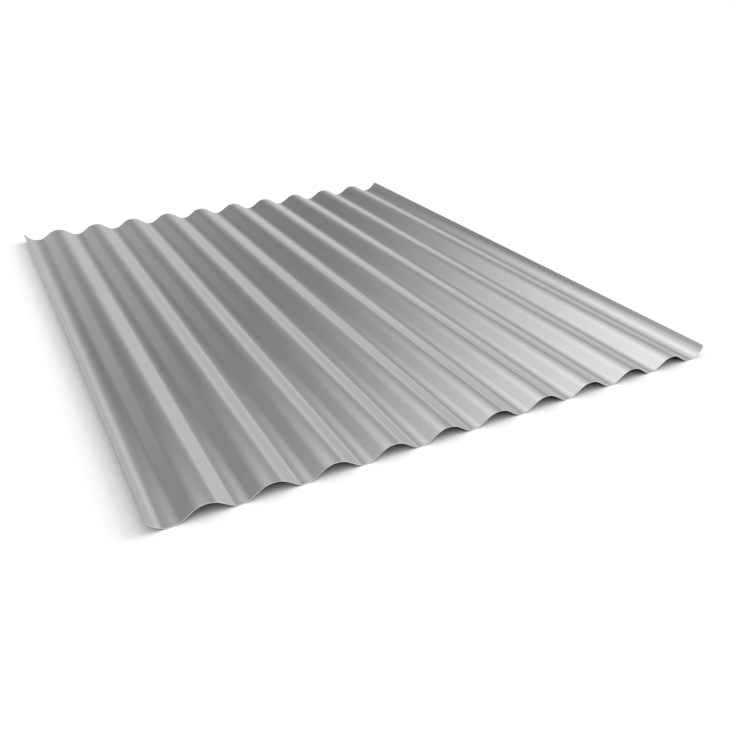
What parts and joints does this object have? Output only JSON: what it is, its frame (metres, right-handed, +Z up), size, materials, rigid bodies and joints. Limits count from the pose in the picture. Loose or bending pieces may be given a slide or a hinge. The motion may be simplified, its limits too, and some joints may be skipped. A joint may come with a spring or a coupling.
{
  "type": "corrugated metal sheet",
  "caption": "Corrugated steel roofing and cladding sheet, with equal round waves along its length and a raised lap lip along each side edge.",
  "frame": {"origin": "under the middle of the sheet, on the plane that the undersides of the troughs lie on, midway along the waves and midway across them", "axes": "+Y along the waves, +X across them towards the right lap lip, +Z up out of the sheet's upper face"},
  "size_m": [0.8152, 1, 0.0176],
  "materials": {
    "galvanised_steel": "satin zinc coating on roll-formed steel, neutral grey, no visible spangle"
  },
  "bodies": {
    "root": {"corrugated_sheet": "galvanised_steel"}
  },
  "joints": []
}
